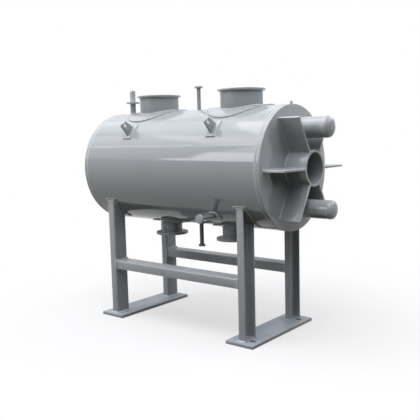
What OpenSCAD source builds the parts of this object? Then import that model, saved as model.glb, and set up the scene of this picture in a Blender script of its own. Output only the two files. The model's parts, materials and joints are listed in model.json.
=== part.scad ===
// Plate-and-shell condenser on a channel-section frame.
// X runs along the vessel axis towards the connection end, -Y is the front, +Z is up.
// The origin is on the floor, at the centre of the four anchor slots.

/* [Vessel] */
// Outside diameter of the shell
shell_od = 1150; // [900:1:1500]
// Thickness of the shell plate
shell_wall = 12; // [8:1:20]
// Length of the shell between its two covers
shell_len = 2146; // [1780:1:3200]
// Thickness of each flat end cover
cover_t = 40; // [25:1:60]
// Height of the vessel axis above the floor
axis_h = 1575; // [1300:1:2200]

/* [Plate pack] */
// Gap between the pack's end plates and the inside of the shell
pack_gap = 68; // [30:1:160]
// Width of the end plates' rim beyond the round plates
pack_rim = 15; // [5:1:40]
// Thickness of each end plate of the pack
pack_end_t = 30; // [15:1:50]

/* [Connection end] */
// Outside diameter of the central hub
hub_od = 323.9; // [200:0.1:400]
// Wall of the central hub
hub_wall = 20; // [8:1:40]
// Length of the hub beyond the cover
hub_len = 210; // [120:1:320]
// Thickness of the radial ribs
rib_t = 20; // [10:1:30]
// Width of cover left bare between the ribs and the cover's edge
rib_margin = 55; // [30:1:120]
// Distance of both capped stubs' axes from the cover's edge
stub_inset = 215; // [130:1:280]
// Outside diameter of the upper capped stub
upper_stub_od = 188; // [120:0.1:230]
// Length of the upper stub's straight part
upper_stub_len = 330; // [230:1:450]
// Outside diameter of the lower capped stub
lower_stub_od = 168.3; // [120:0.1:230]
// Length of the lower stub's straight part
lower_stub_len = 360; // [230:1:450]
// Wall of both stubs and their caps
stub_wall = 8; // [5:1:12]
// Length of the straight skirt of a domed cap
cap_skirt = 12; // [6:1:30]

/* [Top nozzles] */
// Distance from each end of the shell to its top nozzle's axis
top_inset = 535; // [480:1:900]
// Outside diameter of the top nozzles
top_od = 406.4; // [250:0.1:500]
// Wall of the top nozzles
top_wall = 10; // [6:1:16]
// Height of the top nozzles above the shell's crown
top_rise = 169; // [100:1:300]
// Width of the collar round a top nozzle's mouth
collar_w = 26; // [15:1:60]
// Thickness of the collar
collar_t = 20; // [10:1:40]
// Width of the wrapped pad round a top nozzle
top_pad_w = 136.8; // [60:0.1:160]

/* [Bottom nozzles] */
// Distance from each end of the shell to its bottom nozzle's axis
bottom_inset = 662; // [500:1:840]
// Outside diameter of the bottom nozzles
bottom_od = 219.1; // [150:0.1:300]
// Wall of the bottom nozzles
bottom_wall = 8; // [5:1:12]
// Distance from the shell's lowest line to the flange face
bottom_drop = 140; // [90:1:250]
// Width of the flange beyond the pipe
flange_w = 60.45; // [45:0.05:90]
// Flange thickness
flange_t = 24; // [16:1:40]
// Distance from the flange's edge to the middle of its bolt holes
flange_edge = 22.5; // [18:0.5:35]
// Number of flange bolt holes
flange_bolts = 12; // [4:1:16]
// Diameter of a flange bolt hole
flange_hole_d = 22; // [14:1:26]
// Width of the wrapped pad round a bottom nozzle
bottom_pad_w = 95.45; // [40:0.05:140]

/* [Pads] */
// Thickness of the wrapped pads on the shell
pad_t = 12; // [6:1:20]

/* [Small fittings] */
// Share of the free room beside the vent by which it stands off the middle
vent_share = 0.056; // [-0.8:0.001:0.8]
// Outside diameter of the vent pipe
vent_od = 38; // [20:0.1:60]
// Diameter of the vent's blank end
vent_cap_d = 80; // [70:1:120]
// Height of the vent's top above the shell's crown
vent_rise = 231; // [120:1:320]
// Gap between the far top nozzle's pad and the relief pipe
relief_gap = 30; // [10:0.05:80]
// Outside diameter of the relief pipe
relief_od = 60.3; // [30:0.1:75]
// Height of the relief pipe's top above the shell's crown
relief_rise = 253; // [180:1:320]
// Diameter of the flange on the relief pipe
relief_flange_d = 145; // [100:1:170]
// Height of that flange's middle above the shell's crown
relief_flange_rise = 117; // [80:1:160]
// Outside diameter of the drain pipe
drain_od = 42.4; // [20:0.1:60]
// Diameter of the drain's blank cap
drain_cap_d = 72; // [60:1:120]
// Distance from the shell's lowest line to the end of the drain
drain_drop = 242; // [120:1:320]
// Outside diameter of the level connection on the front
side_od = 42.4; // [20:0.1:60]
// Diameter of the level connection's blank cap
side_cap_d = 84; // [60:1:120]
// Distance of the level connection from the connection end of the shell
side_inset = 590; // [400:1:700]
// Angle of the level connection below the horizontal
side_angle = 49; // [30:0.5:60]
// How far the level connection stands out beyond the shell's front
side_rise = 38; // [20:1:150]
// Width of the round pad round the level connection
side_pad_w = 50.8; // [30:0.1:100]
// Thickness of every blank cap and flange on the small pipes
cap_t = 18; // [10:1:25]
// Diameter of the vent plug on the connection end
plug_d = 25; // [10:1:30]
// Height of the vent plug
plug_h = 25; // [15:1:40]

/* [Lifting lugs] */
// Distance from each end of the shell to its lugs
lug_inset = 537; // [300:1:900]
// Thickness of a lug
lug_t = 15; // [10:1:30]
// Gap between a top nozzle's pad and a lug's pad, round the shell
lug_gap = 48; // [15:1:120]
// Height of a lug above its pad
lug_h = 120; // [90:1:150]
// Width of a lug at its foot
lug_foot = 116; // [100:1:160]
// Width of a lug at its top
lug_top = 80; // [70:1:120]
// Slant of a lug's top edge, as the outer corner's rise above its middle
lug_slant = 10; // [0:1:20]
// Diameter of the lifting eye
lug_hole_d = 36; // [20:1:45]
// Distance from the lug's top edge to the eye's middle
lug_edge = 33; // [28:1:50]
// Length of a lug's pad along the vessel
lug_pad_l = 106; // [60:1:150]
// Length of a lug's pad round the shell
lug_pad_w = 176; // [130:1:220]

/* [Frame] */
// Distance from each end of the shell to the middle of its legs
leg_inset = 238; // [120:1:400]
// Distance from the shell's side to the outer face of a leg
leg_side = 97; // [60:1:160]
// Depth of the channel section
channel_h = 165; // [120:1:200]
// Width of the legs' flanges
leg_b = 80; // [60:1:100]
// Width of the beams' flanges
beam_b = 88; // [60:1:110]
// Thickness of the channel plate
channel_t = 8; // [6:1:12]
// Inside radius of the channel's folds
fold_r = 8; // [4:1:16]
// Height of the beams' top face
beam_top = 602; // [300:1:900]
// Length of a saddle pad along the vessel
saddle_l = 140; // [110:1:200]
// How far a saddle pad runs on above the leg, round the shell
saddle_above = 22; // [10:1:60]
// How far a saddle pad runs on below the leg, round the shell
saddle_below = 64; // [10:1:120]
// Thickness of the saddle pads
saddle_t = 10; // [6:1:16]
// Length of a base plate beyond each leg, across the vessel
base_over = 47; // [20:1:150]
// Width of a base plate along the vessel
base_w = 300; // [240:1:400]
// Thickness of a base plate
base_t = 30; // [15:1:40]
// Distance from a leg's open side to the middle of the anchor slot
slot_out = 25; // [15:1:50]
// Distance from a leg's outer face in to the middle of the anchor slot
slot_in = 75; // [50:1:120]
// Width of an anchor slot
slot_w = 26; // [18:1:36]
// Length of an anchor slot, end to end
slot_l = 66; // [40:1:90]

/* [Hidden] */
$fn = 96;
// Facets of the large circles that follow the vessel
vessel_fn = 360;

paint = "#a3a9ad";
nozzle_paint = "#7f8487";
steel = "#b9b6ac";

// The vessel
shell_r = shell_od / 2;
inner_r = shell_r - shell_wall;
cover_x = shell_len / 2;
face_x = cover_x + cover_t;
pad_r = shell_r + pad_t;
pack_end_r = inner_r - pack_gap;
hub_r = hub_od / 2;
hub_bore_r = hub_r - hub_wall;
rib_reach = shell_r - rib_margin;
rib_count = 6;
stub_offset = shell_r - stub_inset;
// Steps of the half ellipse that a domed cap is turned from
cap_steps = 10;

// The nozzles
top_x = cover_x - top_inset;
top_r = top_od / 2;
top_z = axis_h + shell_r + top_rise;
top_pad_r = top_r + top_pad_w;
bottom_x = cover_x - bottom_inset;
bottom_r = bottom_od / 2;
bottom_z = axis_h - shell_r - bottom_drop;
bottom_pad_r = bottom_r + bottom_pad_w;
flange_r = bottom_r + flange_w;
// How far a branch pipe reaches past the shell's inner face
inside_reach = 8;

// The small fittings
relief_x = -top_x - top_pad_r - relief_gap - relief_od / 2;
vent_x = vent_share * (top_x - top_pad_r - vent_od / 2);
side_x = cover_x - side_inset;
side_z = axis_h - shell_r * sin(side_angle);
side_reach = shell_r + side_rise;
side_pad_r = side_od / 2 + side_pad_w;
plug_x = cover_x + plug_d / 2;
// Length and width of the weld neck under a blank cap
neck_l = 14;
neck_w = 7;

// The lugs; an arc length a on radius r spans arc_angle(a, r) degrees
function arc_angle(a, r) = a / r * 180 / PI;
lug_x = cover_x - lug_inset;
lug_half = arc_angle(lug_pad_w / 2, shell_r);
lug_angle = asin(top_pad_r / shell_r) + arc_angle(lug_gap, shell_r) + lug_half;
lug_corner_r = 12;
// How far a lug's outline runs on below the pad before it is cut to the pad's curve
lug_root = 40;

// The frame
saddle_r = shell_r + saddle_t;
leg_x = cover_x - leg_inset;
web_x = leg_x - leg_b / 2;
leg_y = shell_r - leg_side;
saddle_from = acos(leg_y / saddle_r) - arc_angle(saddle_above, saddle_r);
saddle_to = acos((leg_y - channel_h) / saddle_r) + arc_angle(saddle_below, saddle_r);
slot_x = leg_x + leg_b / 2 + slot_out;
slot_y = leg_y - slot_in;

// Overlap of a cutting tool past the face that it cuts
eps = 1;

// A cylinder lying along the vessel axis, from x0 to x1
module x_cylinder(x0, x1, r) {
    translate([x0, 0, axis_h]) rotate([0, 90, 0]) cylinder(h = x1 - x0, r = r, $fn = vessel_fn);
}

// Height at which an upright cylinder of radius r is wholly outside the surface of radius s
function saddle_depth(s, r) = sqrt(s * s - r * r);

// An upright tube with its foot at z = 0
module tube(h, r, wall) {
    difference() {
        cylinder(h = h, r = r);
        translate([0, 0, -eps]) cylinder(h = h + 2 * eps, r = r - wall);
    }
}

// ---- Vessel ----

module shell() {
    color(paint)
    difference() {
        x_cylinder(-cover_x, cover_x, shell_r);
        x_cylinder(-cover_x - eps, cover_x + eps, inner_r);
        for (side = [-1, 1]) {
            translate([side * top_x, 0, axis_h]) cylinder(h = shell_od, r = top_r);
            translate([side * bottom_x, 0, axis_h - shell_od]) cylinder(h = shell_od, r = bottom_r);
        }
    }
}

module near_cover() {
    color(paint)
    difference() {
        x_cylinder(cover_x, face_x, shell_r);
        x_cylinder(cover_x - eps, face_x + eps, hub_bore_r);
    }
}

module far_cover() {
    color(paint) x_cylinder(-face_x, -cover_x, shell_r);
}

module plate_pack() {
    color(steel) x_cylinder(pack_end_t - cover_x, cover_x - pack_end_t, pack_end_r - pack_rim);
}

module pack_end_plates() {
    color(steel) {
        x_cylinder(-cover_x, pack_end_t - cover_x, pack_end_r);
        x_cylinder(cover_x - pack_end_t, cover_x, pack_end_r);
    }
}

// ---- Connection end ----

module hub() {
    color(paint)
    difference() {
        x_cylinder(face_x, face_x + hub_len, hub_r);
        x_cylinder(face_x - eps, face_x + hub_len + eps, hub_bore_r);
    }
}

// Flat ribs that stand on the cover and end against the hub
module hub_ribs() {
    color(paint)
    difference() {
        for (i = [0 : rib_count - 1])
            translate([face_x, 0, axis_h]) rotate([i * 360 / rib_count, 0, 0])
                translate([0, 0, -rib_t / 2]) cube([hub_len, rib_reach, rib_t]);
        x_cylinder(face_x - eps, face_x + hub_len + eps, hub_r);
    }
}

module stub(z, od, len) {
    color(paint)
    translate([face_x, 0, z]) rotate([0, 90, 0]) tube(len, od / 2, stub_wall);
}

// Half of an elliptical dome's profile on radius r, half as deep as it is wide
function dome(r) = [for (i = [0 : cap_steps]) let (a = 90 * i / cap_steps)
    [r * cos(a), cap_skirt + r / 2 * sin(a)]];

// Domed weld cap with its own wall
module stub_cap(z, od, len) {
    outer = dome(od / 2);
    inner = dome(od / 2 - stub_wall);
    color(paint)
    translate([face_x + len, 0, z]) rotate([0, 90, 0])
        rotate_extrude()
            polygon(concat([[outer[0][0], 0]], outer,
                           [for (i = [cap_steps : -1 : 0]) inner[i]], [[inner[0][0], 0]]));
}

// ---- Pads wrapped on the shell ----

// A round pad, cut from a ring of the shell's curvature by a cylinder that stands
// radially at position x and angle a, measured from the crown towards the front
module round_pad(x, a, r, hole_r) {
    color(paint)
    translate([x, 0, axis_h]) rotate([a, 0, 0])
    difference() {
        intersection() {
            translate([-r - eps, 0, 0]) rotate([0, 90, 0])
                cylinder(h = 2 * (r + eps), r = pad_r, $fn = vessel_fn);
            cylinder(h = shell_od, r = r);
        }
        translate([-2 * r, 0, 0]) rotate([0, 90, 0]) cylinder(h = 4 * r, r = shell_r, $fn = vessel_fn);
        if (hole_r > 0) cylinder(h = shell_od, r = hole_r);
    }
}

// A wedge of the vessel's cross-section between two angles from the crown
module sector(a0, a1, reach) {
    polygon([[0, 0], for (a = [a0, (a0 + a1) / 2, a1]) [-reach * sin(a), reach * cos(a)]]);
}

// A strip pad of length l between two angles from the crown, towards the front
module strip_pad(x, a0, a1, l, t) {
    translate([x - l / 2, 0, axis_h]) rotate([90, 0, 90])
    linear_extrude(l)
    intersection() {
        difference() {
            circle(r = shell_r + t, $fn = vessel_fn);
            circle(r = shell_r, $fn = vessel_fn);
        }
        sector(a0, a1, shell_od);
    }
}

// ---- Large nozzles ----

module top_pad(side) {
    round_pad(side * top_x, 0, top_pad_r, top_r);
}

module top_pipe(side) {
    foot_z = axis_h + saddle_depth(inner_r, top_r) - inside_reach;
    color(nozzle_paint) translate([side * top_x, 0, foot_z]) tube(top_z - foot_z, top_r, top_wall);
}

module top_collar(side) {
    color(nozzle_paint)
    translate([side * top_x, 0, top_z - collar_t]) tube(collar_t, top_r + collar_w, collar_w);
}

module bottom_pad(side) {
    round_pad(side * bottom_x, 180, bottom_pad_r, bottom_r);
}

module bottom_pipe(side) {
    head_z = axis_h - saddle_depth(inner_r, bottom_r) + inside_reach;
    color(nozzle_paint) translate([side * bottom_x, 0, bottom_z]) tube(head_z - bottom_z, bottom_r, bottom_wall);
}

module bottom_flange(side) {
    color(nozzle_paint)
    translate([side * bottom_x, 0, bottom_z])
    difference() {
        tube(flange_t, flange_r, flange_w);
        for (i = [0 : flange_bolts - 1])
            rotate((i + 0.5) * 360 / flange_bolts) translate([flange_r - flange_edge, 0, -eps])
                cylinder(h = flange_t + 2 * eps, r = flange_hole_d / 2);
    }
}

// ---- Small fittings ----

// A pipe with a short weld neck under its blank cap, from z = 0 up
module blanked_pipe(od, cap_d, height) {
    r = od / 2;
    under = height - cap_t;
    rotate_extrude()
        polygon([[0, 0], [r, 0], [r, under - neck_l], [r + neck_w, under],
                 [cap_d / 2, under], [cap_d / 2, height], [0, height]]);
}

// Cuts the foot of a small pipe to the shell, or to a pad on it
module cut_to(x, od, r) {
    difference() {
        children();
        x_cylinder(x - od, x + od, r);
    }
}

module vent() {
    color(paint) cut_to(vent_x, vent_od, shell_r)
        translate([vent_x, 0, axis_h]) blanked_pipe(vent_od, vent_cap_d, shell_r + vent_rise);
}

module drain() {
    color(nozzle_paint) cut_to(0, drain_od, shell_r)
        translate([0, 0, axis_h]) mirror([0, 0, 1]) blanked_pipe(drain_od, drain_cap_d, shell_r + drain_drop);
}

// The relief pipe carries a loose flange part of the way up and has a chamfered blank end
module relief_pipe() {
    r = relief_od / 2;
    chamfer = r / 3;
    top = shell_r + relief_rise;
    low = shell_r + relief_flange_rise - cap_t / 2;
    high = low + cap_t;
    color(paint) cut_to(relief_x, relief_od, shell_r)
        translate([relief_x, 0, axis_h]) rotate_extrude()
            polygon([[0, 0], [r, 0], [r, low], [relief_flange_d / 2, low], [relief_flange_d / 2, high],
                     [r, high], [r, top - chamfer], [r - chamfer, top], [0, top]]);
}

module level_pad() {
    round_pad(side_x, 90 + side_angle, side_pad_r, 0);
}

module level_connection() {
    color(paint) cut_to(side_x, side_od, pad_r)
        translate([side_x, 0, side_z]) rotate([90, 0, 0]) blanked_pipe(side_od, side_cap_d, side_reach);
}

module vent_plug() {
    color(paint) cut_to(plug_x, plug_d, shell_r)
        translate([plug_x, 0, axis_h]) cylinder(h = shell_r + plug_h, r = plug_d / 2);
}

// ---- Lifting lugs ----

// Outline of a lug: tapered, with a slanted top edge, rounded corners and a round eye
module lug_outline() {
    difference() {
        hull() {
            translate([-lug_foot / 2, -lug_root]) square([lug_foot, lug_root + eps]);
            for (s = [-1, 1])
                translate([s * (lug_top / 2 - lug_corner_r), lug_h - lug_corner_r - s * lug_slant])
                    circle(r = lug_corner_r);
        }
        translate([0, lug_h - lug_edge]) circle(r = lug_hole_d / 2);
    }
}

module lifting_lugs() {
    color(paint)
    for (sx = [-1, 1], sy = [0, 1])
        mirror([0, sy, 0])
        difference() {
            translate([sx * lug_x - lug_t / 2, 0, axis_h]) rotate([lug_angle, 0, 0])
                translate([0, 0, pad_r]) rotate([90, 0, 90]) linear_extrude(lug_t) lug_outline();
            x_cylinder(sx * lug_x - lug_t, sx * lug_x + lug_t, pad_r);
        }
}

module lug_pads() {
    color(paint)
    for (sx = [-1, 1], sy = [0, 1])
        mirror([0, sy, 0])
            strip_pad(sx * lug_x, lug_angle - lug_half, lug_angle + lug_half, lug_pad_l, pad_t);
}

// ---- Frame ----

module saddle_pads(side) {
    color(paint)
    for (sy = [0, 1])
        mirror([0, sy, 0])
            strip_pad(side * leg_x, 90 + saddle_from, 90 + saddle_to, saddle_l, saddle_t);
}

// A rectangle b wide and h high whose two corners at x = 0 have radius r
module folded(b, h, r) {
    translate([r, 0]) square([b - r, h]);
    translate([0, r]) square([b, h - 2 * r]);
    for (y = [r, h - r]) translate([r, y]) circle(r = r);
}

// Folded channel: web along Y from 0, flanges towards +X
module channel_profile(b) {
    difference() {
        folded(b, channel_h, channel_t + fold_r);
        translate([channel_t, channel_t]) folded(b, channel_h - 2 * channel_t, fold_r);
    }
}

// A leg stands with its open side away from the middle and is cut to the saddle pad
module leg(side, rear) {
    color(paint)
    mirror([side < 0 ? 1 : 0, 0, 0]) mirror([0, rear, 0])
    difference() {
        translate([web_x, -leg_y, base_t]) linear_extrude(axis_h - base_t) channel_profile(leg_b);
        x_cylinder(web_x - eps, web_x + leg_b + eps, saddle_r);
    }
}

// A beam lies between two legs with its web on top and its flanges down
module beam(rear) {
    color(paint)
    mirror([0, rear, 0])
        translate([-web_x, -leg_y, beam_top]) rotate([0, 90, 0])
            linear_extrude(2 * web_x) channel_profile(beam_b);
}

module slot() {
    linear_extrude(base_t + 2 * eps)
    union() {
        square([slot_l - slot_w, slot_w], center = true);
        for (s = [-1, 1]) translate([s * (slot_l - slot_w) / 2, 0]) circle(r = slot_w / 2);
    }
}

module base_plate(side) {
    base_y = leg_y + base_over;
    color(paint)
    difference() {
        translate([side * leg_x - base_w / 2, -base_y, 0]) cube([base_w, 2 * base_y, base_t]);
        for (sy = [-1, 1]) translate([side * slot_x, sy * slot_y, -eps]) slot();
    }
}

shell();
near_cover();
far_cover();
plate_pack();
pack_end_plates();
hub();
hub_ribs();
stub(axis_h + stub_offset, upper_stub_od, upper_stub_len);  // upper_stub
stub_cap(axis_h + stub_offset, upper_stub_od, upper_stub_len);  // upper_cap
stub(axis_h - stub_offset, lower_stub_od, lower_stub_len);  // lower_stub
stub_cap(axis_h - stub_offset, lower_stub_od, lower_stub_len);  // lower_cap
top_pad(-1);  // left_top_pad
top_pipe(-1);  // left_top_pipe
top_collar(-1);  // left_top_collar
top_pad(1);  // right_top_pad
top_pipe(1);  // right_top_pipe
top_collar(1);  // right_top_collar
bottom_pad(-1);  // left_bottom_pad
bottom_pipe(-1);  // left_bottom_pipe
bottom_flange(-1);  // left_bottom_flange
bottom_pad(1);  // right_bottom_pad
bottom_pipe(1);  // right_bottom_pipe
bottom_flange(1);  // right_bottom_flange
vent();
relief_pipe();
drain();
level_pad();
level_connection();
vent_plug();
lifting_lugs();
lug_pads();
saddle_pads(-1);  // left_saddle_pads
saddle_pads(1);  // right_saddle_pads
leg(-1, 0);  // left_front_leg
leg(1, 0);  // right_front_leg
leg(-1, 1);  // left_rear_leg
leg(1, 1);  // right_rear_leg
beam(0);  // front_beam
beam(1);  // rear_beam
base_plate(-1);  // left_base_plate
base_plate(1);  // right_base_plate
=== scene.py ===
# %% [markdown]
# # A plate-and-shell condenser on a channel frame
# The real object is a welded steel drum with flat end covers. A pack of thin
# round plates sits inside it, vapour enters through the two wide nozzles on
# top, and condensate leaves through the two flanged nozzles below. Everything
# outside is sprayed with one light grey gloss enamel.
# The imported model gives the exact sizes. This script keeps those sizes and
# adds what a fabricator would see on the finished plant: soft plate edges,
# weld beads, dished caps and the sheen of the enamel.

# %% Load the frame
import json
import math

import bpy
from mathutils import Matrix, Quaternion, Vector


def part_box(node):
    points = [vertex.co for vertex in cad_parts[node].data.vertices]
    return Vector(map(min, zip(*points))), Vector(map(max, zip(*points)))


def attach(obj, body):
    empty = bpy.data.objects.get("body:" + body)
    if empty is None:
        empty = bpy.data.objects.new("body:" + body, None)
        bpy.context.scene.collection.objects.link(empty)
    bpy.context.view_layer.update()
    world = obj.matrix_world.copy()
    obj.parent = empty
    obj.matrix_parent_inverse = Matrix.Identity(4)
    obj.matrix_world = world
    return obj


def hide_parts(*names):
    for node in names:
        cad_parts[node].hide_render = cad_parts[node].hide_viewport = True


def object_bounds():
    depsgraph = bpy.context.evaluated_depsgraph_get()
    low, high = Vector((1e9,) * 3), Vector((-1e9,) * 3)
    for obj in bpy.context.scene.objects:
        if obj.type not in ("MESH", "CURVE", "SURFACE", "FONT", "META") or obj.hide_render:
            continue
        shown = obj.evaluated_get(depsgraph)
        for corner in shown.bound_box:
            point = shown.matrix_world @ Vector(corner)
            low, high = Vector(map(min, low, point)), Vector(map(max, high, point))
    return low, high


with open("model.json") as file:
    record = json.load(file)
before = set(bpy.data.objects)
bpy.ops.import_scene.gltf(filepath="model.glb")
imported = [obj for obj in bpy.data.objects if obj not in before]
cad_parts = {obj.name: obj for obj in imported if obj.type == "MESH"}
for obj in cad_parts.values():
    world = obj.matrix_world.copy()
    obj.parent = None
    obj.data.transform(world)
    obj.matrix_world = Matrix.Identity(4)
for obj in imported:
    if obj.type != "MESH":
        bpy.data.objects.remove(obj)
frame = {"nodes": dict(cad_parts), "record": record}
cad_box = [Vector(corner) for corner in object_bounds()]
print("CAD box", [tuple(round(v, 3) for v in corner) for corner in cad_box])

# %% [markdown]
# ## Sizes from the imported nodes
# Every piece has to sit on its CAD node, so its place is measured from the
# nodes' boxes. A round part's radius is half the widest side of its box,
# rounded to a tenth of a millimetre to lose the facets of the mesh, or to a
# whole one for the drum. What a box can't show is given where it is needed: the
# thickness of walls and pads, and the angle of the level connection. X runs
# along the drum towards its connection end, and Z is up.


# %% Measure the vessel
def middle(node):
    """Centre of a node's box."""
    low, high = (Vector(c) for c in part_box(node))
    return (low + high) / 2


def reach(node):
    """Half the length of a node's box along X, Y and Z."""
    low, high = (Vector(c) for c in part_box(node))
    return Vector([round(v, 4) for v in (high - low) / 2])


MM = 0.001
PAD_T = 12 * MM
SADDLE_T = 10 * MM
AXIS_Z = round(middle("shell").z, 4)
SHELL_R = round(max(reach("shell").y, reach("shell").z), 3)
SHELL_END = reach("shell").x
FACE_X = round(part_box("near_cover")[1][0], 4)
PAD_R = SHELL_R + PAD_T
SADDLE_R = SHELL_R + SADDLE_T
AXIS_POINT = Vector((0, 0, AXIS_Z))
ALONG = (1, 0, 0)
UPRIGHT = (0, 0, 1)
print("axis", AXIS_Z, "shell radius", SHELL_R, "shell end", SHELL_END)

# %% [markdown]
# ## The camera
# A camera is easiest to place from three things: where it stands, the
# direction it looks in, and how far it is rolled about that direction. Here it
# stands at about eye height, in front and towards the connection end.

# %% Camera
CAMERA_AT = Vector((3.9612, -4.7369, 1.8660))
CAMERA_LOOK = Vector((-0.62574, 0.77098, -0.11845))
CAMERA_ROLL = -0.025565
FOCAL_LENGTH = 51.85

bpy.ops.object.camera_add(location=CAMERA_AT)
camera = bpy.context.object
camera.rotation_mode = "QUATERNION"
aim = CAMERA_LOOK.to_track_quat("-Z", "Y")
camera.rotation_quaternion = aim @ Quaternion((0, 0, 1), CAMERA_ROLL)
camera.data.lens = FOCAL_LENGTH
camera.data.sensor_width = 36
bpy.context.scene.camera = camera
bpy.context.scene.view_settings.view_transform = "Standard"
print("camera at", tuple(CAMERA_AT))

# %% [markdown]
# ## One helper for nodes, one for colours
# A material is a small network of nodes. One function that adds a node, sets
# its options and links its inputs keeps each network short enough to read.
# Paint makers and painters give colours as sRGB hex values, while shaders
# count in linear light, so another function converts them.


# %% Node and colour helpers
def add(owner, kind, sockets=None, **options):
    """Adds a shader node; a socket is given a value or another node's output."""
    node = owner.node_tree.nodes.new("ShaderNode" + kind)
    for name, value in options.items():
        setattr(node, name, value)
    for name, value in (sockets or {}).items():
        if isinstance(value, bpy.types.NodeSocket):
            owner.node_tree.links.new(value, node.inputs[name])
        else:
            node.inputs[name].default_value = value
    return node


def linear(hex_colour):
    """sRGB hex to the linear RGBA that a shader needs."""
    parts = [int(hex_colour[i:i + 2], 16) / 255 for i in (1, 3, 5)]
    rgb = [p / 12.92 if p < 0.04045 else ((p + 0.055) / 1.055) ** 2.4 for p in parts]
    return rgb + [1]


def new_material(name):
    """An empty node material and its output node."""
    material = bpy.data.materials.new(name)
    material.use_nodes = True
    material.node_tree.nodes.clear()
    return material, add(material, "OutputMaterial")


# %% [markdown]
# ## Light path and background
# The floor and the world look white to the camera and in reflections, but only
# a little of that white may light the object, or its underside would glow.
# Light Path tells the shader which kind of ray has arrived: camera, glossy and
# transmission rays get the white, and all other rays get a dim fill.


# %% Light path helper and world
def seen_directly(owner):
    """1 for camera, glossy and transmission rays, 0 for the rays that light things."""
    path = add(owner, "LightPath")
    pair = add(owner, "Math", {0: path.outputs["Is Camera Ray"],
                               1: path.outputs["Is Glossy Ray"]}, operation="MAXIMUM")
    return add(owner, "Math", {0: pair.outputs[0],
                               1: path.outputs["Is Transmission Ray"]},
               operation="MAXIMUM").outputs[0]


WORLD_FILL = 0.03
world = bpy.data.worlds.new("studio")
bpy.context.scene.world = world
world.use_nodes = True
world.node_tree.nodes.clear()
fill = add(world, "Background", {"Color": linear("#F2EEE2"), "Strength": WORLD_FILL})
white = add(world, "Background", {"Color": (1, 1, 1, 1), "Strength": 1.0})
mix = add(world, "MixShader", {0: seen_directly(world), 1: fill.outputs[0],
                               2: white.outputs[0]})
add(world, "OutputWorld", {"Surface": mix.outputs[0]})
print("world fill", WORLD_FILL)

# %% [markdown]
# ## Panels of sky
# Gloss enamel is drawn by what it mirrors. Out of doors that is a wide pale
# sky over a dark skyline, and the skyline shows as a crisp line along the drum.
# An image of a sky could do that, but a tent of large area lamps needs no file
# and each patch of it can be moved alone. It has one ceiling and four walls
# that start well above the floor, so that light falls from high up and the
# lower faces stay dark. Lamps add up where one stands in front of another, so
# a few smaller panels make the brighter clouds. A ray misses one of two panels
# that share a plane, so each stands a hand's width nearer than the last. A
# lamp's power follows from its area and the brightness it should mirror at.


# %% Panels
TENT = 18.0
ROOF = 19.0
STAGGER = 0.1


def panel(name, place, target, width, height, brightness, tilt=0):
    """A rectangular lamp at a place, facing a target and tilted in its own plane."""
    look = Vector(target) - Vector(place)
    place = Vector(place) + look.normalized() * STAGGER * len(bpy.data.lights)
    turn = look.to_track_quat("-Z", "Y") @ Quaternion((0, 0, 1), math.radians(tilt))
    bpy.ops.object.light_add(type="AREA", location=place, rotation=turn.to_euler())
    lamp = bpy.context.object
    lamp.name = name
    lamp.data.shape = "RECTANGLE"
    lamp.data.size = width
    lamp.data.size_y = height
    lamp.data.energy = brightness * math.pi * width * height
    lamp.data.color = linear("#FBFBFF")[:3]
    lamp.visible_camera = False
    print(name, round(lamp.data.energy), "W")
    return lamp


def ceiling(name, xs, ys, brightness):
    """A flat panel of the tent's roof, between two places along X and along Y."""
    x, y = sum(xs) / 2, sum(ys) / 2
    return panel(name, (x, y, ROOF), (x, y, 0), xs[1] - xs[0], ys[1] - ys[0],
                 brightness)


def wall(name, bearing, along, heights, brightness, tilt=0):
    """An upright panel of the tent; bearing in degrees from the front to the left,
    along is the pair of its ends, measured from the middle towards the left."""
    turn = math.radians(bearing)
    out = Vector((-math.sin(turn), -math.cos(turn), 0))
    left = Vector((-math.cos(turn), math.sin(turn), 0))
    foot = left * sum(along) / 2
    up = Vector((0, 0, sum(heights) / 2))
    return panel(name, foot + out * TENT + up, foot + up, along[1] - along[0],
                 heights[1] - heights[0], brightness, tilt)


# %% [markdown]
# ## Roof and far walls
# An overcast sky is not even. It is brightest near the hidden sun, here above
# the front of the plant, and it thins out towards the rear left. Roof panels
# stacked on one another give that slope in broad steps, which the soft light
# blends. The three on the left are the clouds that the crown and the lifting
# lugs' pads mirror. The walls to the right and rear light the flat end and the
# nozzles.

# %% Roof and far walls
ceiling("sky_roof", (-18, 18), (-18, 18), 0.5)
ceiling("sky_roof_front", (-18, 18), (-18, 4), 0.9)
ceiling("sky_roof_middle", (-9, 9), (-18, 4), 1.4)
ceiling("sky_roof_glow", (0, 9), (-18, -2), 2.2)
ceiling("sky_roof_left", (-18, -9), (-18, 0), 0.5)
ceiling("sky_roof_far_left", (-27, -18), (-3.5, 8), 1.1)
ceiling("cloud_roof", (-11.4, -7), (-8.5, 1.5), 2.8)
wall("sky_rear_left", 135, (-18, 18), (10, 19), 0.4)
wall("sky_rear_right", 225, (-18, 18), (9, 19), 2.6)
wall("sky_front_right", 315, (-4, 18), (10, 19), 1.0)
wall("sky_right", 315, (-18, -4), (10, 19), 0.5)

# %% [markdown]
# ## The wall that the drum mirrors
# A cylinder squeezes the whole scene in front of it into bands along its
# length. The hazy sky gives the pale upper band, the cloud bank low on the
# right gives the bright streak with a hard lower edge, and the skyline under it
# gives the dark lower half. The long sloping edge of one panel, with a narrow
# bright one along it, draws the thin line that runs the length of the drum.

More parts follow.
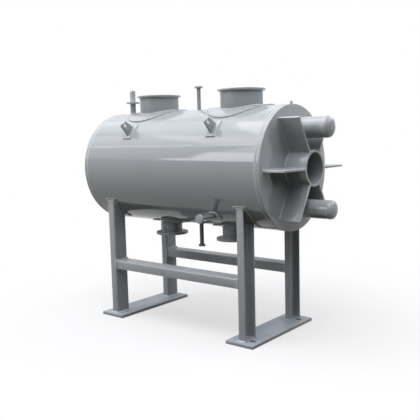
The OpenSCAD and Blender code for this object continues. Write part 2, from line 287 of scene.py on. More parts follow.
# %% Front left wall
EDGE_SLOPE = 34.6
wall("haze", 45, (-6, 11), (7, 19), 0.85)
wall("low_haze", 45, (-6, 11), (5, 7), 0.75)
wall("sky_front_left", 45, (-5, 13.5), (11.1, 19.1), 0.8, EDGE_SLOPE)
wall("cloud_low", 45, (-7, -1.3), (5.1, 9.3), 5.0)
wall("cloud_tip", 45, (-1.3, -0.4), (5.1, 6.0), 4.0)
wall("sky_edge", 45, (-5, 8), (11.4, 11.95), 3.0, EDGE_SLOPE)
wall("cloud_bank", 45, (-9, -1.6), (9.3, 14), 1.8)

# %% [markdown]
# ## The floor
# The floor is a plain pale sheet. Close to the plant it takes real light and
# keeps the soft shadow under the drum and the dark line where the base plates
# stand. Further out it fades into the white of the background, so no edge of
# the sheet shows. Rays that carry light up to the underside meet a duller
# floor, because a white one would light the plant from below.

# %% Floor
FLOOR_NEAR = 4.2
FADE_UP_TO = 0.35
SHADOW_SHARE = 0.45
FLOOR_WIDTH = 80
floor_paint, floor_out = new_material("matt pale studio floor")
floor_place = add(floor_paint, "TexCoord")
spread = add(floor_paint, "Mapping", {"Vector": floor_place.outputs["Object"],
                                      "Scale": (1 / FLOOR_NEAR,) * 3})
fade = add(floor_paint, "TexGradient", {"Vector": spread.outputs[0]},
           gradient_type="QUADRATIC_SPHERE")
near = add(floor_paint, "MapRange", {"Value": fade.outputs["Fac"], "From Min": 0.0,
                                     "From Max": FADE_UP_TO, "To Max": SHADOW_SHARE},
           interpolation_type="SMOOTHSTEP")
lit = add(floor_paint, "BsdfDiffuse", {"Color": linear("#D2D2D2")})
bare = add(floor_paint, "Emission", {"Color": (1, 1, 1, 1), "Strength": 1.0})
shown = add(floor_paint, "MixShader", {0: near.outputs[0], 1: bare.outputs[0],
                                       2: lit.outputs[0]})
dull = add(floor_paint, "BsdfDiffuse", {"Color": linear("#38352A")})
floor_mix = add(floor_paint, "MixShader", {0: seen_directly(floor_paint),
                                           1: dull.outputs[0], 2: shown.outputs[0]})
floor_paint.node_tree.links.new(floor_mix.outputs[0], floor_out.inputs["Surface"])

bpy.ops.mesh.primitive_plane_add(size=FLOOR_WIDTH)
floor = bpy.context.object
floor.name = "floor"
floor.data.materials.append(floor_paint)
print("floor ready")

# %% [markdown]
# ## Gloss enamel
# The plant is sprayed with two-pack polyurethane enamel. It is a thick, hard
# gloss coat with an IOR near 1.5, so it mirrors about a twentieth of what is in
# front of it and much more at a glancing angle. Sprayed paint is never quite
# even, and the recipe below gives the eye five signs of that:
# - the tint drifts over about 0.6 m, the width of a few passes of the gun;
# - the gloss drifts over about 0.2 m, as the coat was wetter or drier;
# - the rolled plate under it is slightly wavy, over about half a metre;
# - dust in specks 70 mm across dulls the faces that look up;
# - orange peel breaks the reflection up. It is really 2 mm across, too fine to
#   show at this size, so it is drawn 9 mm across and very shallow.


# %% Enamel
def enamel(name, colour, shade, roughness, wave_size, wave_depth):
    """Gloss enamel: its colour, a darker tint, and the waves of the plate under it."""
    material, out = new_material(name)
    place = add(material, "TexCoord").outputs["Object"]
    clouds = add(material, "TexNoise", {"Vector": place, "Scale": 1.7, "Detail": 5.0,
                                        "Roughness": 0.6})
    tint = add(material, "Mix", {0: clouds.outputs["Fac"], 6: linear(shade),
                                 7: linear(colour)}, data_type="RGBA")
    facing = add(material, "SeparateXYZ",
                 {"Vector": add(material, "NewGeometry").outputs["Normal"]})
    upward = add(material, "MapRange", {"Value": facing.outputs["Z"], "From Min": 0.7,
                                        "From Max": 1.0})
    specks = add(material, "TexNoise", {"Vector": place, "Scale": 14.0, "Detail": 6.0,
                                        "Roughness": 0.75})
    dust = add(material, "Math", {0: upward.outputs[0], 1: specks.outputs["Fac"]},
               operation="MULTIPLY")
    film = add(material, "Math", {0: dust.outputs[0], 1: 0.3}, operation="MULTIPLY")
    dusty = add(material, "Mix", {0: film.outputs[0], 6: tint.outputs[2],
                                  7: linear("#A6A9AC")}, data_type="RGBA")
    sheen = add(material, "TexNoise", {"Vector": place, "Scale": 5.5, "Detail": 4.0})
    gloss = add(material, "MapRange", {"Value": sheen.outputs["Fac"], "From Min": 0.3,
                                       "From Max": 0.7, "To Min": roughness * 0.8,
                                       "To Max": roughness * 1.3})
    rough = add(material, "Math", {0: dust.outputs[0], 1: 0.25, 2: gloss.outputs[0]},
                operation="MULTIPLY_ADD")
    plate = add(material, "TexNoise", {"Vector": place, "Scale": 1 / wave_size,
                                       "Detail": 1.0})
    wavy = add(material, "Bump", {"Height": plate.outputs["Fac"],
                                  "Distance": wave_depth, "Strength": 1.0})
    peel = add(material, "TexNoise", {"Vector": place, "Scale": 110.0, "Detail": 1.0})
    skin = add(material, "Bump", {"Height": peel.outputs["Fac"], "Distance": 0.00001,
                                  "Strength": 1.0, "Normal": wavy.outputs[0]})
    paint = add(material, "BsdfPrincipled", {
        "Base Color": dusty.outputs[2], "Roughness": rough.outputs[0],
        "Normal": skin.outputs[0], "IOR": 1.5})
    material.node_tree.links.new(paint.outputs[0], out.inputs["Surface"])
    return material


# %% [markdown]
# ## One enamel, many surfaces
# One pot of paint looks different on each kind of steel, so each surface gets
# its own tint, gloss and waves from the same recipe. Rolled plate is smooth
# but gently wavy, and the drum mirrors like still water. Folded channel and
# the short nozzle pipes take a drier coat that blurs what they mirror. The base
# plates get a bluer grey, a painted reflection of the sky above them, and the
# drain under the drum a dark grey, painted shade. Sheared edges get a darker
# grey, painted shade. Ground edges and weld beads get a much lighter grey, a
# painted highlight for the bright lines that outline the plates, and turned
# rims a glassier coat in a slightly lighter grey, real gloss with a painted
# highlight.

# %% Tints of enamel
vessel_enamel = enamel("gloss grey enamel on rolled plate", "#9CA1A4", "#979C9F",
                       0.06, 0.45, 0.0012)
frame_enamel = enamel("gloss grey enamel on folded channel", "#9A9FA2", "#95999C",
                      0.32, 0.3, 0.0001)
nozzle_enamel = enamel("grey enamel on nozzle pipe", "#8F9597", "#888E90",
                       0.35, 0.25, 0.0002)
# A dark grey for the drain under the drum: painted shade.
drain_shade_enamel = enamel("dark grey enamel on drain pipe, painted shade", "#545A5A", "#4C5252",
                      0.2, 0.25, 0.0002)
# A bluer grey on the base plates: a painted reflection of the sky above.
base_sky_tint_enamel = enamel("bluer gloss enamel on base plates, painted sky reflection", "#8B969E", "#868F97",
                     0.36, 0.3, 0.0003)
# A darker grey for sheared edges: painted shade.
shear_shade_enamel = enamel("darker grey enamel on sheared edges, painted shade", "#757B7F", "#6E7478",
                      0.4, 0.25, 0.0002)
# A much lighter grey for ground edges and rib ends: a painted highlight.
edge_highlight_enamel = enamel("lighter gloss enamel on ground edges, painted highlight", "#C0C4C6", "#B7BBBD",
                     0.22, 0.25, 0.0003)
# A lighter grey for weld beads: a painted highlight.
bead_highlight_enamel = enamel("lighter gloss enamel on weld beads, painted highlight", "#BBBFC1", "#B2B6B8",
                     0.2, 0.25, 0.0003)
# Glossier and slightly lighter for turned rims: real gloss plus a painted highlight.
rim_gloss_highlight_enamel = enamel("gloss enamel on turned rims", "#A0A5A8", "#9BA0A3",
                    0.05, 0.25, 0.0001)
print([paint.name for paint in bpy.data.materials if "enamel" in paint.name])

# %% [markdown]
# ## Stainless plate edges
# The pack inside is bare stainless steel, cut, pressed and laser welded at the
# rims. It is a metal, so it keeps the default IOR and has no colour of its own
# apart from the tint of its reflections. The weld has left it satin, with
# faint straw and brown bands from the heat, a couple of ridges wide. In the
# shade of the nozzles that reads as dull silver.

# %% Pack steel
pack_steel, steel_out = new_material("bare stainless plate edges")
steel_place = add(pack_steel, "TexCoord").outputs["Object"]
bands = add(pack_steel, "TexNoise", {"Vector": add(
    pack_steel, "Mapping", {"Vector": steel_place, "Scale": (60, 3, 3)}).outputs[0],
    "Scale": 1.0, "Detail": 4.0})
heat = add(pack_steel, "Mix", {0: bands.outputs["Fac"], 6: linear("#A69F8F"),
                               7: linear("#C6C4BD")}, data_type="RGBA")
satin = add(pack_steel, "MapRange", {"Value": bands.outputs["Fac"], "To Min": 0.28,
                                     "To Max": 0.5})
grind = add(pack_steel, "Bump", {"Height": bands.outputs["Fac"], "Distance": 0.0003})
steel = add(pack_steel, "BsdfPrincipled", {
    "Base Color": heat.outputs[2], "Metallic": 1.0, "Roughness": satin.outputs[0],
    "Normal": grind.outputs[0]})
pack_steel.node_tree.links.new(steel.outputs[0], steel_out.inputs["Surface"])
print("pack steel ready")

# %% [markdown]
# ## Near-black steel for the deepest shade
# The walls of the bolt slots in the base plates and the heavy plates at the
# ends of the pack, seen down the hub, sit in deep shade. They get a near black
# with a matt mottle a few millimetres across, painted shade. A rough
# dielectric stands for it, so it mirrors nothing.

# %% Near-black steel, painted shade
shade_black_steel, shade_black_out = new_material("near-black steel, painted shade")
shade_black_place = add(shade_black_steel, "TexCoord").outputs["Object"]
mottle = add(shade_black_steel, "TexNoise", {"Vector": shade_black_place, "Scale": 160.0,
                                        "Detail": 4.0})
shade_black_tint = add(shade_black_steel, "Mix", {0: mottle.outputs["Fac"], 6: linear("#232120"),
                                       7: linear("#413C37")}, data_type="RGBA")
shade_black_bump = add(shade_black_steel, "Bump", {"Height": mottle.outputs["Fac"],
                                        "Distance": 0.0004})
shade_black_bsdf = add(shade_black_steel, "BsdfPrincipled", {
    "Base Color": shade_black_tint.outputs[2], "Roughness": 0.85, "IOR": 1.5,
    "Normal": shade_black_bump.outputs[0]})
shade_black_steel.node_tree.links.new(shade_black_bsdf.outputs[0], shade_black_out.inputs["Surface"])
print("near-black shade steel ready")

# %% [markdown]
# ## Dressing the CAD nodes
# Nodes whose shape is already right stay as they are and only take a finish.
# Each one carries the slot name from the record, so the finish is looked up by
# that name. Pieces made further down replace some of them.

# %% Give every node its finish
FINISH = {"vessel_paint": vessel_enamel, "frame_paint": frame_enamel,
          "nozzle_paint": nozzle_enamel, "pack_steel": pack_steel}
SLOT_OF = {part["node"]: part["material_slot"] for part in frame["record"]["subparts"]}
for node_name, node_object in frame["nodes"].items():
    for coat in node_object.material_slots:
        # The pack's end plates take the near black, painted shade.
        coat.material = (shade_black_steel if node_name == "pack_end_plates"
                         else FINISH[SLOT_OF[node_name]])
print("dressed", len(frame["nodes"]), "nodes with", sorted(FINISH))

# %% [markdown]
# ## Working in edit mode from a script
# Operators act on whatever is selected, and the loaded nodes arrive selected.
# So each step starts with nothing selected, and then picks its own piece. A
# modifier is applied at once, which leaves plain mesh for the next step.


# %% Selection helpers
def deselect():
    """Back to object mode with nothing selected."""
    if bpy.context.mode != "OBJECT":
        bpy.ops.object.mode_set(mode="OBJECT")
    bpy.ops.object.select_all(action="DESELECT")


def edit(piece):
    """Opens one piece in edit mode with all of it selected."""
    deselect()
    piece.select_set(True)
    bpy.context.view_layer.objects.active = piece
    bpy.ops.object.mode_set(mode="EDIT")
    bpy.ops.mesh.select_all(action="SELECT")


def apply_modifier(piece, kind, **settings):
    """Adds a modifier with its settings and applies it."""
    deselect()
    piece.select_set(True)
    bpy.context.view_layer.objects.active = piece
    modifier = piece.modifiers.new(kind.title(), kind)
    for name, value in settings.items():
        setattr(modifier, name, value)
    bpy.ops.object.modifier_apply(modifier=modifier.name)


# %% [markdown]
# ## Ground edges and painted faces
# No edge on the plant is knife sharp: a grinder has gone round it before the
# paint. A Bevel modifier does the same on every edge that turns more than 32
# degrees, and its material setting paints the new faces in the same step with a
# lighter grey, a painted highlight along each edge. Where one piece carries two
# finishes, faces are chosen by place and direction.


# %% Edge and paint helpers
SHARP = math.radians(32)


def soften(piece, width):
    """Rounds every sharp edge and paints the rounds a lighter grey, a painted highlight.
    """
    if not piece.data.materials:
        piece.data.materials.append(vessel_enamel)
    # The rounds take the lighter edge grey, a painted highlight.
    piece.data.materials.append(edge_highlight_enamel)
    apply_modifier(piece, "BEVEL", width=width, segments=2, limit_method="ANGLE",
                   angle_limit=SHARP, use_clamp_overlap=True, material=1)


def repaint(piece, paint, test):
    """Gives another finish to the faces of a finished piece that pass the test."""
    if paint.name not in piece.data.materials:
        piece.data.materials.append(paint)
    index = piece.data.materials.find(paint.name)
    for face in piece.data.polygons:
        if test(face.center, face.normal):
            face.material_index = index


# %% [markdown]
# ## Handing a piece over
# When a piece is done it is held inside the CAD box, because a true circle
# reaches a hair beyond a faceted one. It rides on the plant's one body, hides
# the node it stands for and takes the finish of that node's slot. Its place
# goes into its mesh, so that a pattern on Object coordinates runs on from one
# piece to the next.


# %% The finishing helper
def finish(piece, name, nodes=(), slot=None, smooth=32):
    """Names a piece, smooths it, paints it and ties it to the plant."""
    slot = slot or SLOT_OF[nodes[0]]
    deselect()
    piece.select_set(True)
    bpy.context.view_layer.objects.active = piece
    bpy.ops.object.transform_apply(location=True, rotation=True, scale=True)
    bpy.ops.object.shade_smooth_by_angle(angle=math.radians(smooth))
    low, high = cad_box
    for vertex in piece.data.vertices:
        vertex.co = [min(max(v, a), b) for v, a, b in zip(vertex.co, low, high)]
    piece.name = name
    piece.data.name = name
    if not piece.data.materials:
        piece.data.materials.append(FINISH[slot])
    piece.data.materials[0] = FINISH[slot]
    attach(piece, "root")
    if nodes:
        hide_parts(*nodes)
    print(name, len(piece.data.polygons), "faces")
    return piece


# %% [markdown]
# ## Turned pieces
# Covers, hub, nozzles, collars and dished caps are all round. On a lathe or in
# a press each one comes from a single section, and in Blender Spin does the
# same. A vertex is extruded along the section, the wire is spun a full turn
# about the piece's own axis, and the seam is merged. A cylinder primitive would
# be quicker, but it has no wall, no bore and no dish.


# %% The turning helper
MERGE = 1e-5


def turned(section, centre, axis, steps=192, closed=True):
    """Spins a section of (along, out) points about an axis through centre."""
    axis = Vector(axis)
    out = axis.orthogonal().normalized()
    places = [Vector(centre) + axis * a + out * r for a, r in section]
    if closed:
        places.append(places[0])
    deselect()
    bpy.ops.mesh.primitive_plane_add(size=0.01, location=places[0])
    piece = bpy.context.object
    edit(piece)
    bpy.ops.mesh.merge(type="CENTER")
    for here, there in zip(places, places[1:]):
        bpy.ops.mesh.extrude_region_move(TRANSFORM_OT_translate={"value": there - here})
    bpy.ops.mesh.select_all(action="SELECT")
    bpy.ops.mesh.remove_doubles(threshold=MERGE)
    bpy.ops.mesh.select_all(action="SELECT")
    bpy.ops.mesh.spin(steps=steps, angle=2 * math.pi, center=centre, axis=axis,
                      use_auto_merge=True)
    bpy.ops.mesh.select_all(action="SELECT")
    bpy.ops.mesh.remove_doubles(threshold=MERGE)
    bpy.ops.mesh.delete_loose()
    bpy.ops.mesh.select_all(action="SELECT")
    bpy.ops.mesh.normals_make_consistent(inside=False)
    deselect()
    return piece


def ring(x0, x1, r0, r1):
    """Section of a plain ring."""
    return [(x0, r0), (x1, r0), (x1, r1), (x0, r1)]


# %% [markdown]
# ## End covers
# Each cover is a flat disc of 40 mm plate welded to the end of the shell. The
# near one has a hole for the hub. Its rim is turned smooth and its edges are
# dressed with a grinder, which is why it catches a bright line of light. A
# turned disc with a 4 mm round on the rim gives that line. The rim takes a
# glossier enamel in a slightly lighter grey, real gloss with a painted
# highlight, and the round takes the lighter edge grey, a painted highlight.

# %% Covers
HUB_WALL = 20 * MM
COVER_ROUND = 4 * MM
hub_r = reach("hub").z
far_section = [(-FACE_X, 0), (-FACE_X, SHELL_R), (-SHELL_END, SHELL_R), (-SHELL_END, 0)]
far_cover = turned(far_section, AXIS_POINT, ALONG, steps=256, closed=False)
soften(far_cover, COVER_ROUND)
finish(far_cover, "far_cover_plate", ["far_cover"])
# The rim gets a glossier, slightly lighter grey: real gloss plus a painted highlight.
repaint(far_cover, rim_gloss_highlight_enamel, lambda centre, normal: abs(normal.x) < 0.2)
near_cover = turned(ring(SHELL_END, FACE_X, hub_r - HUB_WALL, SHELL_R), AXIS_POINT,
                    ALONG, steps=256)
soften(near_cover, COVER_ROUND)
finish(near_cover, "near_cover_plate", ["near_cover"])
# The rim gets a glossier, slightly lighter grey: real gloss plus a painted highlight.
repaint(near_cover, rim_gloss_highlight_enamel,
        lambda centre, normal: abs(normal.x) < 0.2 and
        (centre - AXIS_POINT).yz.length > SHELL_R / 2)

# %% [markdown]
# ## Hub
# The hub is a length of thick pipe whose end is left square, ready for the
# pipework to be welded on. Its section is a plain ring. It starts 2 mm inside
# the cover, so that no gap can show at the weld.

# %% Hub
SINK = 2 * MM
PIPE_ROUND = 2 * MM
hub_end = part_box("hub")[1][0]
hub = turned(ring(FACE_X - SINK, hub_end, hub_r - HUB_WALL, hub_r), AXIS_POINT, ALONG)
soften(hub, PIPE_ROUND)
finish(hub, "hub_pipe", ["hub"])


# %% [markdown]
# ## Stubs and their caps
# A stub is a plain pipe welded to the cover. Its cap is pressed from a disc,
# so it ends in a short straight skirt that is butt welded to the pipe, and its
# dome is half of a half-ellipse, a quarter of its diameter deep. The section is
# drawn in steps of 3 degrees and shaded smooth. Both pieces have a real wall,
# because a single skin would show its back through any opening.

# %% Stubs with their caps
CAP_SKIRT = 12 * MM
STUB_WALL = 8 * MM


def dish(end, radius):
    """Half of a half-ellipse dome, from its skirt to its pole."""
    angles = [math.radians(3 * i) for i in range(30)]
    dome = [(end + CAP_SKIRT + radius / 2 * math.sin(a), radius * math.cos(a))
            for a in angles]
    return dome + [(end + CAP_SKIRT + radius / 2, 0)]


def capped_stub(which):
    """One stub: a pipe from the cover and a half-ellipse cap on its end."""
    centre = middle(which + "_stub")
    radius = reach(which + "_stub").z
    end = round(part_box(which + "_stub")[1][0], 4)
    centre.x = 0
    bore = radius - STUB_WALL
    pipe = turned(ring(FACE_X - SINK, end, bore, radius), centre, ALONG)
    finish(pipe, which + "_stub_pipe", [which + "_stub"])
    section = ([(end, radius)] + dish(end, radius) + dish(end, bore)[::-1] +
               [(end, bore)])
    cap = turned(section, centre, ALONG)
    finish(cap, which + "_dished_cap", [which + "_cap"], smooth=40)
    return end, centre, radius


stubs = [capped_stub("upper"), capped_stub("lower")]
print("stubs end at", [round(s[0], 3) for s in stubs])

# %% [markdown]
# ## Hub ribs
# Six plates stand on the cover like spokes and brace the hub. One plate is
# cut, its edges are dressed, and five copies are turned about the vessel's
# axis by sixty degrees each. The plate reaches 1 mm into the hub. Its outer
# edge was ground square, and its end faces take the lighter edge grey, a
# painted highlight.

# %% Ribs
RIB_T = 20 * MM
RIB_ROUND = 3.5 * MM
RIB_SINK = 1 * MM
EDGE_BAND = 5 * MM
rib_reach = reach("hub_ribs").y
deselect()
bpy.ops.mesh.primitive_cube_add(size=1, location=(
    (FACE_X + hub_end) / 2, (hub_r + rib_reach - RIB_SINK) / 2, AXIS_Z))
ribs = bpy.context.object
ribs.scale = (hub_end - FACE_X, rib_reach - hub_r + RIB_SINK, RIB_T)
bpy.ops.object.transform_apply(location=True, rotation=True, scale=True)
soften(ribs, RIB_ROUND)
edit(ribs)
for _ in range(5):
    bpy.ops.mesh.duplicate()
    bpy.ops.transform.rotate(value=math.radians(60), orient_axis="X",
                             center_override=AXIS_POINT)
finish(ribs, "hub_rib_plates", ["hub_ribs"])
# The ribs' outer end faces get the lighter edge grey, a painted highlight.
repaint(ribs, edge_highlight_enamel, lambda centre, normal: (centre - AXIS_POINT).yz.length >
        rib_reach - EDGE_BAND and abs(normal.x) < 0.5)

# %% [markdown]
# ## Vapour nozzles and their collars
# Each wide nozzle is a short rolled pipe. Its collar is a flat ring that the
# customer's loose flange pulls against, with a generous round on its upper
# edge, so it gets a wider bevel than a plain cut plate. The paint on it is as
# glossy as the drum's.

# %% Top nozzles
TOP_WALL = 10 * MM
COLLAR_ROUND = 5 * MM
for side in ("left", "right"):
    pipe_low, pipe_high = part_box(side + "_top_pipe")
    centre = middle(side + "_top_pipe")
    centre.z = 0
    top_r = reach(side + "_top_pipe").x
    pipe = turned(ring(pipe_low[2], pipe_high[2], top_r - TOP_WALL, top_r), centre,
                  UPRIGHT)
    soften(pipe, PIPE_ROUND)
    finish(pipe, side + "_vapour_nozzle", [side + "_top_pipe"])
    low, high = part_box(side + "_top_collar")
    collar_r = reach(side + "_top_collar").x
    collar = turned(ring(low[2], high[2], top_r, collar_r), centre, UPRIGHT)
    soften(collar, COLLAR_ROUND)
    finish(collar, side + "_vapour_collar", [side + "_top_collar"])
    collar.data.materials[0] = vessel_enamel

# %% [markdown]
# ## Pads wrapped on the drum
# Round each nozzle a ring of plate is rolled to the drum's curve and welded
# on. Flat on the bench it is a washer. Here a circle is extruded inwards in
# rings, each vertex is dropped straight onto the drum, and Solidify gives the
# sheet its thickness, so the edge stays square to the drum all the way round.
# A Boolean cut gives the same outline, but a mesh too ragged for a Bevel.


# %% The draped pad helper
def about_axis(piece, angle):
    """Turns a finished mesh about the vessel's axis, from the crown to the front."""
    move = Matrix.Translation(AXIS_POINT)
    piece.data.transform(move @ Matrix.Rotation(angle, 4, "X") @ move.inverted())


def draped_pad(x, outer, inner, radius, thickness, rings=7):
    """A washer laid over the crown of the drum."""
    deselect()
    bpy.ops.mesh.primitive_circle_add(vertices=160, radius=outer, location=(x, 0, 0))
    pad = bpy.context.object
    bpy.ops.object.transform_apply(location=True, rotation=True, scale=True)
    edit(pad)
    size = outer
    for i in range(rings):
        smaller = outer + (inner - outer) * (i + 1) / rings
        bpy.ops.mesh.extrude_region_move()
        bpy.ops.transform.resize(value=(smaller / size, smaller / size, 1),
                                 center_override=(x, 0, 0))
        size = smaller
    bpy.ops.mesh.select_all(action="SELECT")
    bpy.ops.mesh.normals_make_consistent(inside=False)
    deselect()
    for vertex in pad.data.vertices:
        vertex.co.z = AXIS_Z + math.sqrt(radius ** 2 - vertex.co.y ** 2)
    if pad.data.polygons[0].normal.z < 0:
        pad.data.flip_normals()
    apply_modifier(pad, "SOLIDIFY", thickness=thickness, offset=-1,
                   use_even_offset=True)
    return pad


# %% [markdown]
# ## Four nozzle pads
# The two upper pads are laid over the crown as they are. The two lower ones are
# made there too and then turned half a turn about the vessel's axis, because
# the helper only has to know the crown.

# %% Nozzle pads
PAD_ROUND = 1.2 * MM
for name, flip in (("left_top", 0), ("right_top", 0), ("left_bottom", 1),
                   ("right_bottom", 1)):
    pad = draped_pad(middle(name + "_pad").x, reach(name + "_pad").x,
                     reach(name + "_pipe").x, PAD_R, PAD_T)
    about_axis(pad, math.pi * flip)
    soften(pad, PAD_ROUND)
    finish(pad, name + "_nozzle_pad", [name + "_pad"])

# %% [markdown]
# ## The pad low on the front
# The level connection leaves the drum low on the front, 49 degrees below its
# middle. Its pad is the same washer as the others with only a small hole, which
# the pipe hides. It is laid over the crown first and then turned about the
# vessel's axis, which keeps its shape exact.

# %% Pad of the level connection
LEVEL_ANGLE = math.radians(90 + 49)
SMALL_BORE = 5 * MM
SMALL_PAD_ROUND = 2.5 * MM
side_low, side_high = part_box("level_pad")
level_x = middle("level_pad").x
level_pad = draped_pad(level_x, (side_high[0] - side_low[0]) / 2, SMALL_BORE, PAD_R,
                       PAD_T)
about_axis(level_pad, LEVEL_ANGLE)
soften(level_pad, SMALL_PAD_ROUND)
finish(level_pad, "level_connection_pad", ["level_pad"])


# %% [markdown]
# ## Strip pads under the lugs and over the legs
# These are rectangles of plate rolled to the drum. Their place along the drum
# and their angles round it are read from the node's own vertices. A grid of
# the right size is wrapped round the axis, thickened and softened.


# %% The strip pad helpers
def strips(node):
    """Place (x0, x1) and angles (a0, a1) of the four pads in a pair of nodes."""
    found = {}
    for vertex in frame["nodes"][node].data.vertices:
        x, y, z = vertex.co
        key = (x > 0, y > 0)
        angle = math.atan2(abs(y), z - AXIS_Z)
        old = found.get(key, (9, -9, 9, -9))
        found[key] = (min(old[0], x), max(old[1], x), min(old[2], angle),
                      max(old[3], angle))
    return [(x0, x1, a0, a1, 1 if rear else -1)
            for (_, rear), (x0, x1, a0, a1) in sorted(found.items())]


def wrapped_strip(x0, x1, a0, a1, side, radius, thickness):
    """One strip, from angle a0 to a1 off the crown, towards the front or rear."""
    deselect()
    bpy.ops.mesh.primitive_grid_add(x_subdivisions=2, y_subdivisions=28, size=1)
    strip = bpy.context.object
    for vertex in strip.data.vertices:
        angle = a0 + (a1 - a0) * (vertex.co.y + 0.5)
        vertex.co = (x0 + (x1 - x0) * (vertex.co.x + 0.5),
                     side * radius * math.sin(angle),
                     AXIS_Z + radius * math.cos(angle))
    face = strip.data.polygons[0]
    if face.normal.dot(face.center - AXIS_POINT) < 0:
        strip.data.flip_normals()
    apply_modifier(strip, "SOLIDIFY", thickness=thickness, offset=-1,
                   use_even_offset=True)
    soften(strip, SMALL_PAD_ROUND)
    return strip


def join(pieces):
    """Joins several pieces into one mesh."""
    deselect()
    for piece in pieces:
        piece.select_set(True)
    bpy.context.view_layer.objects.active = pieces[0]
    bpy.ops.object.join()
    return bpy.context.object


# %% [markdown]
# ## Lug pads and saddle pads
# The lug pads' edges are ground, so that a sling can't be cut on them, and they
# take the lighter edge grey, a painted highlight. The saddle pads are cut on a
# shear, and their edges take a darker grey, painted shade. An edge face is one
# that looks along the drum or round it and not away from the axis.

# %% Strip pads
pad_places = {}
for node, thickness, edge_paint, name in (
        ("lug_pads", PAD_T, edge_highlight_enamel, "lug_pad_plates"),
        ("left_saddle_pads", SADDLE_T, shear_shade_enamel, "left_saddle_plates"),
        ("right_saddle_pads", SADDLE_T, shear_shade_enamel, "right_saddle_plates")):
    pad_places[node] = strips(node)
    pieces = [wrapped_strip(*place, SHELL_R + thickness, thickness)
              for place in pad_places[node]]
    plates = finish(join(pieces), name, [node])
    # Lug pad edges get the lighter grey, a painted highlight; saddle pad edges a darker
    # grey, painted shade.
    repaint(plates, edge_paint, lambda centre, normal: abs(
        (centre - AXIS_POINT).yz.normalized().dot(normal.yz)) < 0.5)
print("strips", {k: len(v) for k, v in pad_places.items()})


# %% [markdown]
# ## Plates and folded channels
# Lugs, legs, beams, base plates, flanges and the small blanked pipes already
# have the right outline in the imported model, with holes and cuts that fit
# each other. What they lack is the small round that every real edge has. A
# copy of the node is merged into one clean mesh, flat areas are dissolved
# back to single faces, and a Bevel goes round the sharp edges only. Making
# them again from primitives could only lose the fit.


# %% The softened copy helper
FLAT = math.radians(0.5)


def softened_copy(node, width, name):
    """A merged copy of a CAD node with its sharp edges rounded."""
    piece = frame["nodes"][node].copy()
    piece.data = piece.data.copy()
    bpy.context.collection.objects.link(piece)
    piece.parent = None
    edit(piece)
    bpy.ops.mesh.remove_doubles(threshold=MERGE)
    bpy.ops.mesh.customdata_custom_splitnormals_clear()
    bpy.ops.mesh.dissolve_limited(angle_limit=FLAT, delimit={"NORMAL"})
    deselect()
    soften(piece, width)
    return finish(piece, name, [node])


# %% [markdown]
# ## The channel frame
# Legs and beams are bent from 8 mm plate with tight bends, so they get a
# small round. The base plates are thicker and get a wider one, and a bluer
# grey, a painted reflection of the sky. Their long edges were sheared, and
# they get a darker grey, painted shade. The slots' walls, which are the
# upright faces well inside the outline, get a near black, painted shade.

# %% Channels and base plates
CHANNEL_ROUND = 1.2 * MM
BASE_ROUND = 3 * MM
for node in ("left_front_leg", "right_front_leg", "left_rear_leg", "right_rear_leg",
             "front_beam", "rear_beam"):
    softened_copy(node, CHANNEL_ROUND, node + "_channel")
for node in ("left_base_plate", "right_base_plate"):
    plate = softened_copy(node, BASE_ROUND, node + "_slotted")
    # The base plates take the bluer grey, a painted reflection of the sky.
    plate.data.materials[0] = base_sky_tint_enamel
    # The edge faces that look along the drum get a darker grey, painted shade.
    repaint(plate, shear_shade_enamel, lambda centre, normal: abs(normal.x) > 0.7)
    low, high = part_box(node)
    # The slot walls get the near black, painted shade.
    repaint(plate, shade_black_steel, lambda centre, normal: abs(normal.z) < 0.5 and
            low[0] + EDGE_BAND < centre.x < high[0] - EDGE_BAND and
            low[1] + EDGE_BAND < centre.y < high[1] - EDGE_BAND)

# %% [markdown]
# ## Lugs and small connections
# The lifting lugs are diamonds of plate with a hole for the shackle. The lower
# nozzles end in drilled flanges. The vent, relief pipe, drain, level connection
# and vent plug are small pipes that end blank.

# %% Lugs, lower nozzles and fittings
LUG_ROUND = 2 * MM
FLANGE_ROUND = 1.5 * MM
softened_copy("lifting_lugs", LUG_ROUND, "lifting_lug_plates")
for node in ("left_bottom_pipe", "right_bottom_pipe"):
    softened_copy(node, FLANGE_ROUND, node + "_branch")
for node in ("left_bottom_flange", "right_bottom_flange"):
    softened_copy(node, FLANGE_ROUND, node + "_drilled")
for node in ("vent", "relief_pipe", "drain", "level_connection", "vent_plug"):
    fitting = softened_copy(node, PIPE_ROUND, node + "_fitting")
    if node == "drain":
        # The drain, in the shade under the drum, gets a dark grey: painted shade.
        fitting.data.materials[0] = drain_shade_enamel

# %% [markdown]
# ## The plate pack
# Round plates are welded in pairs at the rim, so the side of the pack is a row
# of narrow ridges with a groove between each pair. The ridges are really about
# 4 mm apart. They are drawn 10 mm apart so that they show through the open
# nozzles, and the whole pack is one zigzag section spun about the axis. Two
# hundred separate plates would look the same with ten times the faces.

# %% Plate pack
PITCH = 10 * MM
GROOVE = 7 * MM
pack_low, pack_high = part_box("plate_pack")
pack_r = round(reach("plate_pack").z, 3)
ridges = round((pack_high[0] - pack_low[0]) / PITCH)
step = (pack_high[0] - pack_low[0]) / ridges
zigzag = [(pack_low[0], 0), (pack_low[0], pack_r - GROOVE)]
for i in range(ridges):
    zigzag += [(pack_low[0] + (i + 0.5) * step, pack_r),
               (pack_low[0] + (i + 1) * step, pack_r - GROOVE)]
zigzag += [(pack_high[0], 0)]
pack = turned(zigzag, AXIS_POINT, ALONG, steps=96, closed=False)
finish(pack, "plate_pack_ridges", ["plate_pack"])
print("ridges", ridges, "pitch", round(step / MM, 2), "mm")

# %% [markdown]
# ## Weld beads
# The drum is put together with welds, and under gloss paint every bead shows
# as a fine bright ripple. A bead is a wire with a round section. Its path is
# sampled every 3 mm and the radius swells and sinks along it, which gives the
# row of overlapping scales that a welder leaves. Half of the wire is sunk in
# the plates, so only a curved fillet shows. A bump on the plates would not
# show in the outline, and a bead does.

